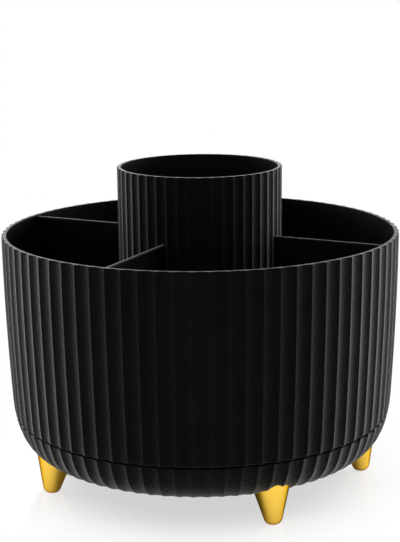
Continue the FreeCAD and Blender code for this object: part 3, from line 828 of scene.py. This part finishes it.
def guide_rib(name, turn, side):
    """Inner edge at a fixed reach from the wall, which it slopes into over the last RIB_REACH."""
    height = np.concatenate([
        [FLOOR_TOP - RIB_UNDER],
        FLOOR_TOP + CORNER * (1 - np.cos(np.radians(np.linspace(20, 90, 6)))),
        np.linspace(STRAIGHT_FROM, RIB_TOP - RIB_REACH, 6), [RIB_TOP - RIB_LEAD, RIB_TOP],
    ])
    wall = wall_reach(np.maximum(height, FLOOR_TOP + SEAT)) + SEAT
    slope = np.clip((height - RIB_TOP) / RIB_REACH + 1, 0, 1) * (RIB_REACH + RIB_SUNK)
    inner = wall_radius(height * MM) / MM - BOWL_WALL - RIB_REACH + slope
    outer = np.maximum(wall, inner) + RIB_SUNK
    half = RIB_WIDTH / 2
    bend = np.radians([0, 45, 90])
    across = np.concatenate([
        [half], half - RIB_SOFT + RIB_SOFT * np.cos(bend),
        -half + RIB_SOFT - RIB_SOFT * np.sin(bend), [-half],
    ])
    inset = np.concatenate([RIB_SOFT * (1 - np.sin(bend)), RIB_SOFT * (1 - np.cos(bend))])
    x = np.column_stack([outer, inner[:, None] + inset, outer])
    y = np.repeat(across[None, :], len(height), 0) + side * RIB_FROM_PLATE
    z = np.repeat(height[:, None], len(across), 1)
    # Ribs take the smooth copy, whose darker colour is painted shade.
    return skin(name, turned(x, y, z, turn) * MM, smooth_abs_painted_shade)


print("ribs end", round(RIM_HEIGHT / MM - RIB_TOP, 1), "mm below the rim")

# %% Eight guide ribs
for number in range(PLATE_COUNT):
    for side, hand in ((1, "left"), (-1, "right")):
        rib = guide_rib("guide_rib_%d_%s" % (number + 1, hand), PLATE_TURN + 90 * number, side)
        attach(rib, "bowl")
        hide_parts("bowl")

# %% [markdown]
# ## Feet
#
# A foot is a cone with a rounded tip, tilted so that the tip stands further out than the top, and
# flat where it stands. Its profile is turned about its own axis, the grid is tilted and set in
# place, and what would lie below the table is pressed flat onto it. The top ends inside the base.

# %% Feet
FOOT_ANGLES = (-156.4, -66.5, -4.9, 99.3)
FOOT_CIRCLE = 75.1
FOOT_SPLAY = math.radians(8.8)
FOOT_TAPER = math.radians(16.0)
TIP_R = 4.1
TIP_ROUND = 3.2
TIP_SINK = 0.45             # how much of the tip is pressed flat
FOOT_LENGTH = 20.0
FOOT_COLUMNS = 72


def foot(name, angle):
    """A tip round that meets a cone; leaning by s turns x into x cos s - z sin s, then z >= 0."""
    flat_r, shoulder = TIP_R - TIP_ROUND, TIP_ROUND - TIP_SINK
    taper = math.degrees(FOOT_TAPER)
    tip = quarter_round((flat_r, shoulder), TIP_ROUND, -90, -taper, 14)
    lengths = np.linspace(tip[-1, 1], FOOT_LENGTH * MM, 10)[1:]
    shaft = np.stack([tip[-1, 0] + (lengths - tip[-1, 1]) * math.tan(FOOT_TAPER), lengths], 1)
    sole = np.array([(flat_r / 2, -TIP_SINK)]) * MM
    top = np.array([(TIP_R, FOOT_LENGTH)]) * MM
    rows = np.vstack([sole, tip, shaft, top])
    grid = carried_round(rows, np.linspace(0, 2 * math.pi, FOOT_COLUMNS, endpoint=False))
    x, y, z = np.moveaxis(grid, 2, 0)
    lean_x = x * math.cos(FOOT_SPLAY) - z * math.sin(FOOT_SPLAY) + FOOT_CIRCLE * MM
    lean_z = np.maximum(x * math.sin(FOOT_SPLAY) + z * math.cos(FOOT_SPLAY), 0)
    return skin(name, turned(lean_x, y, lean_z, angle), gold_film)


for number, angle in enumerate(FOOT_ANGLES, 1):
    made = foot("splayed_foot_%d" % number, angle)
    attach(made, "base")
    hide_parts("foot_%d" % number)

# %% [markdown]
# ## Floor and light
#
# The organizer stands on a pale glossy table in a white studio. A lamp strong enough to turn the
# table white would wash out black plastic, so the white comes from the table's own shader instead:
# away from the object it shows plain white, and near it, it fades over to the lit surface, which
# keeps the shadow. Reflections get a fade of their own that starts further out, so the gold feet
# mirror real shade under the base and white beyond it. The sky is white to the camera and to
# reflections too. Two broad panels stand behind at the sides and light the flanks at a grazing
# angle, a small box behind lines the far rims, and a box above lights the rims and the floors.

# %% Floor
FLOOR_SIZE = 12.0
CAMERA_FADE = (0.056, 0.112, 0.61)      # from radius, to radius, white share at the first
MIRROR_FADE = (0.068, 0.105, 0.0)


def white_share(tree, away, fade, rays):
    """Share of plain white that rays see: it grows from fade's third value to 1 with distance."""
    grown = node(tree, "MapRange", {
        "From Min": fade[0], "From Max": fade[1], "To Min": fade[2], "To Max": 1.0,
    }, {"Value": away}, interpolation_type="SMOOTHSTEP")
    return node(tree, "Math", links={0: grown.outputs["Result"], 1: rays},
                operation="MULTIPLY").outputs[0]


def pale_gloss():
    """Glossy white table: plain white by the shares that camera and mirrored rays see, else lit."""
    made, tree = material("pale_glossy_table")
    place = node(tree, "TexCoord").outputs["Object"]
    away = node(tree, "VectorMath", links={0: place}, operation="LENGTH").outputs["Value"]
    path = node(tree, "LightPath")
    mirrored = node(tree, "Math", links={0: path.outputs["Is Glossy Ray"],
                                         1: path.outputs["Is Transmission Ray"]},
                    operation="MAXIMUM")
    share = node(tree, "Math", operation="ADD", links={
        0: white_share(tree, away, CAMERA_FADE, path.outputs["Is Camera Ray"]),
        1: white_share(tree, away, MIRROR_FADE, mirrored.outputs[0]),
    })
    white = node(tree, "Emission", {"Color": (1, 1, 1, 1), "Strength": 1.0})
    gloss = node(tree, "BsdfPrincipled", {
        "Base Color": linear("#f6f6f6"), "Roughness": 0.08, "Specular IOR Level": 0.5,
    })
    both = node(tree, "MixShader", links={
        0: share.outputs[0], 1: gloss.outputs["BSDF"], 2: white.outputs["Emission"],
    })
    node(tree, "OutputMaterial", links={"Surface": both.outputs["Shader"]})
    return made


mesh = bpy.data.meshes.new("table")
edge = FLOOR_SIZE / 2
mesh.from_pydata([(-edge, -edge, 0), (edge, -edge, 0), (edge, edge, 0), (-edge, edge, 0)], [],
                 [(0, 1, 2, 3)])
mesh.materials.append(pale_gloss())
table = bpy.data.objects.new("table", mesh)
bpy.context.scene.collection.objects.link(table)
print("table", FLOOR_SIZE, "m wide, white from", CAMERA_FADE[1] / MM, "mm off the axis")

# %% Sky and lamps
SKY_LIGHT = 0.5


def white_sky():
    """World that lights at SKY_LIGHT and is plain white to camera, mirrored and passing rays."""
    world = bpy.data.worlds.new("white_studio")
    world.use_nodes = True
    tree = world.node_tree
    tree.nodes.clear()
    path = node(tree, "LightPath")
    seen = node(tree, "Math", operation="MAXIMUM", links={
        0: path.outputs["Is Camera Ray"], 1: path.outputs["Is Glossy Ray"],
    })
    any_view = node(tree, "Math", operation="MAXIMUM", links={
        0: seen.outputs[0], 1: path.outputs["Is Transmission Ray"],
    })
    strength = node(tree, "MapRange", {"To Min": SKY_LIGHT, "To Max": 1.0},
                    {"Value": any_view.outputs[0]})
    sky = node(tree, "Background", {"Color": (1, 1, 1, 1)},
               {"Strength": strength.outputs["Result"]})
    node(tree, "OutputWorld", links={"Surface": sky.outputs["Background"]})
    bpy.context.scene.world = world


def soft_box(name, place, target, width, height, watts):
    """Area lamp at a place, turned towards its target."""
    lamp = bpy.data.lights.new(name, "AREA")
    lamp.shape = "RECTANGLE"
    lamp.size, lamp.size_y = width, height
    lamp.energy = watts
    made = bpy.data.objects.new(name, lamp)
    made.location = place
    made.rotation_euler = (Vector(target) - Vector(place)).to_track_quat("-Z", "Y").to_euler()
    bpy.context.scene.collection.objects.link(made)


white_sky()
LAMPS = (       # place, target, width and height in metres, watts
    ("left_panel", (-0.85, 0.50, 0.40), (0, 0, 0.06), 1.2, 1.0, 7.0),
    ("right_panel", (0.85, 0.50, 0.40), (0, 0, 0.06), 1.2, 1.0, 10.0),
    ("back_box", (-0.3, 1.1, 0.45), (0, 0, 0.1), 0.8, 0.4, 3.0),
    ("top_box", (0, -0.1, 1.2), (0, 0, 0), 0.8, 0.8, 4.0),
)
for lamp in LAMPS:
    soft_box(*lamp)
print("lamps:", ", ".join(lamp[0] for lamp in LAMPS))

bpy.context.scene.view_settings.view_transform = "Standard"
